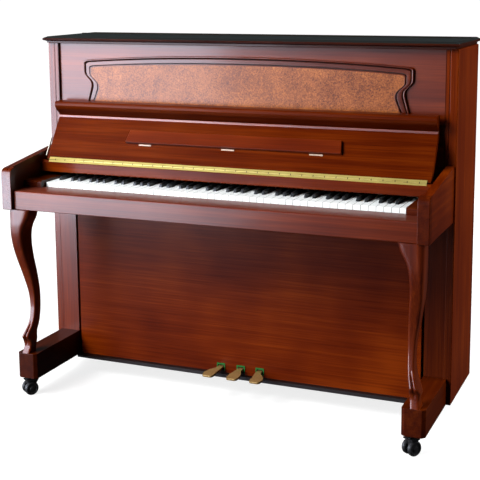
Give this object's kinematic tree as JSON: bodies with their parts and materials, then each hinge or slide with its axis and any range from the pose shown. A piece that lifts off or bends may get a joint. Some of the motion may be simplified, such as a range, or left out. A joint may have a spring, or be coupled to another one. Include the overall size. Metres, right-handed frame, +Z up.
{
  "type": "upright piano",
  "caption": "Upright piano in a mahogany case with curved front legs, arched upper panel, folding fallboard, playing keys, pedals and casters.",
  "frame": {"origin": "bottom centre of the bounding box, on the floor under the middle of the case", "axes": "+X to the player's right, -Y to the front where the player sits, +Z up"},
  "size_m": [1.4342, 0.6236, 1.199],
  "materials": {
    "mahogany": "satin gloss lacquer",
    "burl": "satin gloss lacquer",
    "spruce": "bare",
    "dark_wood": "stained",
    "brass": "polished",
    "cast_iron": "gold paint",
    "white_keytop": "gloss",
    "black_keytop": "satin",
    "caster_rubber": "matt",
    "caster_metal": "satin black"
  },
  "bodies": {
    "case": {"side_left": "mahogany", "side_right": "mahogany", "arm_left": "mahogany", "arm_right": "mahogany", "toe_rail_left": "mahogany", "toe_rail_right": "mahogany", "leg_left": "mahogany", "leg_right": "mahogany", "lid_rear": "mahogany", "lid_hinge": "brass", "upper_panel": "mahogany", "panel_moulding": "mahogany", "burl_inlay": "burl", "lower_panel": "mahogany", "bottom_board": "dark_wood", "keybed": "spruce", "key_slip": "mahogany", "key_block_left": "mahogany", "key_block_right": "mahogany", "nameboard": "mahogany", "fallboard_hinge_lower": "brass", "white_keys": "white_keytop", "black_keys": "black_keytop", "back_frame": "spruce", "soundboard": "spruce", "iron_frame": "cast_iron", "action": "spruce"},
    "lid": {"lid_front": "mahogany"},
    "fallboard": {"fallboard": "mahogany", "fallboard_hinge_upper": "brass"},
    "music_shelf": {"music_shelf": "mahogany"},
    "key_c": {"key_c": "white_keytop"},
    "key_c_sharp": {"key_c_sharp": "black_keytop"},
    "key_d": {"key_d": "white_keytop"},
    "key_d_sharp": {"key_d_sharp": "black_keytop"},
    "key_e": {"key_e": "white_keytop"},
    "key_f": {"key_f": "white_keytop"},
    "key_f_sharp": {"key_f_sharp": "black_keytop"},
    "key_g": {"key_g": "white_keytop"},
    "key_g_sharp": {"key_g_sharp": "black_keytop"},
    "key_a": {"key_a": "white_keytop"},
    "key_a_sharp": {"key_a_sharp": "black_keytop"},
    "key_b": {"key_b": "white_keytop"},
    "pedal_left": {"pedal_left": "brass"},
    "trap_lever_left": {"trap_lever_left": "spruce"},
    "lift_rod_left": {"lift_rod_left": "spruce"},
    "pedal_middle": {"pedal_middle": "brass"},
    "trap_lever_middle": {"trap_lever_middle": "spruce"},
    "lift_rod_middle": {"lift_rod_middle": "spruce"},
    "pedal_right": {"pedal_right": "brass"},
    "trap_lever_right": {"trap_lever_right": "spruce"},
    "lift_rod_right": {"lift_rod_right": "spruce"},
    "caster_fork_front_left": {"caster_fork_front_left": "caster_metal"},
    "caster_wheels_front_left": {"caster_wheels_front_left": "caster_rubber"},
    "caster_fork_front_right": {"caster_fork_front_right": "caster_metal"},
    "caster_wheels_front_right": {"caster_wheels_front_right": "caster_rubber"},
    "caster_fork_rear_left": {"caster_fork_rear_left": "caster_metal"},
    "caster_wheels_rear_left": {"caster_wheels_rear_left": "caster_rubber"},
    "caster_fork_rear_right": {"caster_fork_rear_right": "caster_metal"},
    "caster_wheels_rear_right": {"caster_wheels_rear_right": "caster_rubber"}
  },
  "joints": [
    {"name": "lid_hinge_turn", "type": "hinge", "parent": "case", "child": "lid", "pos_m": [0, 0.2218, 1.1974], "axis": [-1, 0, 0], "range_deg": [0, 178]},
    {"name": "fallboard_turn", "type": "hinge", "parent": "case", "child": "fallboard", "pos_m": [0, -0.1097, 0.788], "axis": [1, 0, 0], "range_deg": [0, 131.5]},
    {"name": "music_shelf_turn", "type": "hinge", "parent": "fallboard", "child": "music_shelf", "pos_m": [0, -0.07065, 0.8479], "axis": [-1, 0, 0], "range_deg": [-95, 0]},
    {"name": "key_c_turn", "type": "hinge", "parent": "case", "child": "key_c", "pos_m": [-0.0589, 0.0268, 0.7047], "axis": [1, 0, 0], "range_deg": [0, 2.6], "stiffness_Nm_per_rad": 0.6, "springref_deg": -14.32},
    {"name": "key_c_sharp_turn", "type": "hinge", "parent": "case", "child": "key_c_sharp", "pos_m": [-0.04872, 0.0268, 0.7047], "axis": [1, 0, 0], "range_deg": [0, 2.6], "stiffness_Nm_per_rad": 0.6, "springref_deg": -14.32},
    {"name": "key_d_turn", "type": "hinge", "parent": "case", "child": "key_d", "pos_m": [-0.03534, 0.0268, 0.7047], "axis": [1, 0, 0], "range_deg": [0, 2.6], "stiffness_Nm_per_rad": 0.6, "springref_deg": -14.32},
    {"name": "key_d_sharp_turn", "type": "hinge", "parent": "case", "child": "key_d_sharp", "pos_m": [-0.02196, 0.0268, 0.7047], "axis": [1, 0, 0], "range_deg": [0, 2.6], "stiffness_Nm_per_rad": 0.6, "springref_deg": -14.32},
    {"name": "key_e_turn", "type": "hinge", "parent": "case", "child": "key_e", "pos_m": [-0.01178, 0.0268, 0.7047], "axis": [1, 0, 0], "range_deg": [0, 2.6], "stiffness_Nm_per_rad": 0.6, "springref_deg": -14.32},
    {"name": "key_f_turn", "type": "hinge", "parent": "case", "child": "key_f", "pos_m": [0.01178, 0.0268, 0.7047], "axis": [1, 0, 0], "range_deg": [0, 2.6], "stiffness_Nm_per_rad": 0.6, "springref_deg": -14.32},
    {"name": "key_f_sharp_turn", "type": "hinge", "parent": "case", "child": "key_f_sharp", "pos_m": [0.02136, 0.0268, 0.7047], "axis": [1, 0, 0], "range_deg": [0, 2.6], "stiffness_Nm_per_rad": 0.6, "springref_deg": -14.32},
    {"name": "key_g_turn", "type": "hinge", "parent": "case", "child": "key_g", "pos_m": [0.03534, 0.0268, 0.7047], "axis": [1, 0, 0], "range_deg": [0, 2.6], "stiffness_Nm_per_rad": 0.6, "springref_deg": -14.32},
    {"name": "key_g_sharp_turn", "type": "hinge", "parent": "case", "child": "key_g_sharp", "pos_m": [0.04712, 0.0268, 0.7047], "axis": [1, 0, 0], "range_deg": [0, 2.6], "stiffness_Nm_per_rad": 0.6, "springref_deg": -14.32},
    {"name": "key_a_turn", "type": "hinge", "parent": "case", "child": "key_a", "pos_m": [0.0589, 0.0268, 0.7047], "axis": [1, 0, 0], "range_deg": [0, 2.6], "stiffness_Nm_per_rad": 0.6, "springref_deg": -14.32},
    {"name": "key_a_sharp_turn", "type": "hinge", "parent": "case", "child": "key_a_sharp", "pos_m": [0.07228, 0.0268, 0.7047], "axis": [1, 0, 0], "range_deg": [0, 2.6], "stiffness_Nm_per_rad": 0.6, "springref_deg": -14.32},
    {"name": "key_b_turn", "type": "hinge", "parent": "case", "child": "key_b", "pos_m": [0.08246, 0.0268, 0.7047], "axis": [1, 0, 0], "range_deg": [0, 2.6], "stiffness_Nm_per_rad": 0.6, "springref_deg": -14.32},
    {"name": "pedal_left_turn", "type": "hinge", "parent": "case", "child": "pedal_left", "pos_m": [-0.0705, 0.0568, 0.0905], "axis": [1, 0, 0], "range_deg": [0, 5], "stiffness_Nm_per_rad": 10, "springref_deg": -17.19},
    {"name": "trap_lever_left_turn", "type": "hinge", "parent": "case", "child": "trap_lever_left", "pos_m": [0.1295, 0.0868, 0.168], "axis": [0, 1, 0], "range_deg": [0, 0.765], "stiffness_Nm_per_rad": 2, "springref_deg": 11.46},
    {"name": "lift_rod_left_slide", "type": "slide", "parent": "case", "child": "lift_rod_left", "axis": [0, 0, 1], "range_m": [0, 0.01038]},
    {"name": "pedal_middle_turn", "type": "hinge", "parent": "case", "child": "pedal_middle", "pos_m": [0.002, 0.0568, 0.0905], "axis": [1, 0, 0], "range_deg": [0, 5], "stiffness_Nm_per_rad": 10, "springref_deg": -17.19},
    {"name": "trap_lever_middle_turn", "type": "hinge", "parent": "case", "child": "trap_lever_middle", "pos_m": [0.302, 0.1018, 0.168], "axis": [0, 1, 0], "range_deg": [0, 0.765], "stiffness_Nm_per_rad": 2, "springref_deg": 17.19},
    {"name": "lift_rod_middle_slide", "type": "slide", "parent": "case", "child": "lift_rod_middle", "axis": [0, 0, 1], "range_m": [0, 0.01268]},
    {"name": "pedal_right_turn", "type": "hinge", "parent": "case", "child": "pedal_right", "pos_m": [0.0705, 0.0568, 0.0905], "axis": [1, 0, 0], "range_deg": [0, 5], "stiffness_Nm_per_rad": 10, "springref_deg": -17.19},
    {"name": "trap_lever_right_turn", "type": "hinge", "parent": "case", "child": "trap_lever_right", "pos_m": [0.4705, 0.1168, 0.168], "axis": [0, 1, 0], "range_deg": [0, 0.765], "stiffness_Nm_per_rad": 2, "springref_deg": 24.06},
    {"name": "lift_rod_right_slide", "type": "slide", "parent": "case", "child": "lift_rod_right", "axis": [0, 0, 1], "range_m": [0, 0.01493]},
    {"name": "caster_front_left_swivel", "type": "hinge", "parent": "case", "child": "caster_fork_front_left", "pos_m": [-0.6595, -0.2342, 0.0657], "axis": [0, 0, 1], "continuous": true},
    {"name": "caster_front_left_roll", "type": "hinge", "parent": "caster_fork_front_left", "child": "caster_wheels_front_left", "pos_m": [-0.66868, -0.24731, 0.02364], "axis": [0.8192, -0.5736, 0], "continuous": true},
    {"name": "caster_front_right_swivel", "type": "hinge", "parent": "case", "child": "caster_fork_front_right", "pos_m": [0.6595, -0.2342, 0.0657], "axis": [0, 0, 1], "continuous": true},
    {"name": "caster_front_right_roll", "type": "hinge", "parent": "caster_fork_front_right", "child": "caster_wheels_front_right", "pos_m": [0.65032, -0.24731, 0.02364], "axis": [0.8192, -0.5736, 0], "continuous": true},
    {"name": "caster_rear_left_swivel", "type": "hinge", "parent": "case", "child": "caster_fork_rear_left", "pos_m": [-0.6555, 0.2618, 0.0657], "axis": [0, 0, 1], "continuous": true},
    {"name": "caster_rear_left_roll", "type": "hinge", "parent": "caster_fork_rear_left", "child": "caster_wheels_rear_left", "pos_m": [-0.6555, 0.2458, 0.02364], "axis": [1, 0, 0], "continuous": true},
    {"name": "caster_rear_right_swivel", "type": "hinge", "parent": "case", "child": "caster_fork_rear_right", "pos_m": [0.6555, 0.2618, 0.0657], "axis": [0, 0, 1], "continuous": true},
    {"name": "caster_rear_right_roll", "type": "hinge", "parent": "caster_fork_rear_right", "child": "caster_wheels_rear_right", "pos_m": [0.6555, 0.2458, 0.02364], "axis": [1, 0, 0], "continuous": true}
  ],
  "couplings": [
    {"joint": "trap_lever_left_turn", "follows": "pedal_left_turn", "ratio": 0.15},
    {"joint": "lift_rod_left_slide", "follows": "pedal_left_turn", "m_per_rad": 0.11663},
    {"joint": "trap_lever_middle_turn", "follows": "pedal_middle_turn", "ratio": 0.15},
    {"joint": "lift_rod_middle_slide", "follows": "pedal_middle_turn", "m_per_rad": 0.1425},
    {"joint": "trap_lever_right_turn", "follows": "pedal_right_turn", "ratio": 0.15},
    {"joint": "lift_rod_right_slide", "follows": "pedal_right_turn", "m_per_rad": 0.16778}
  ]
}
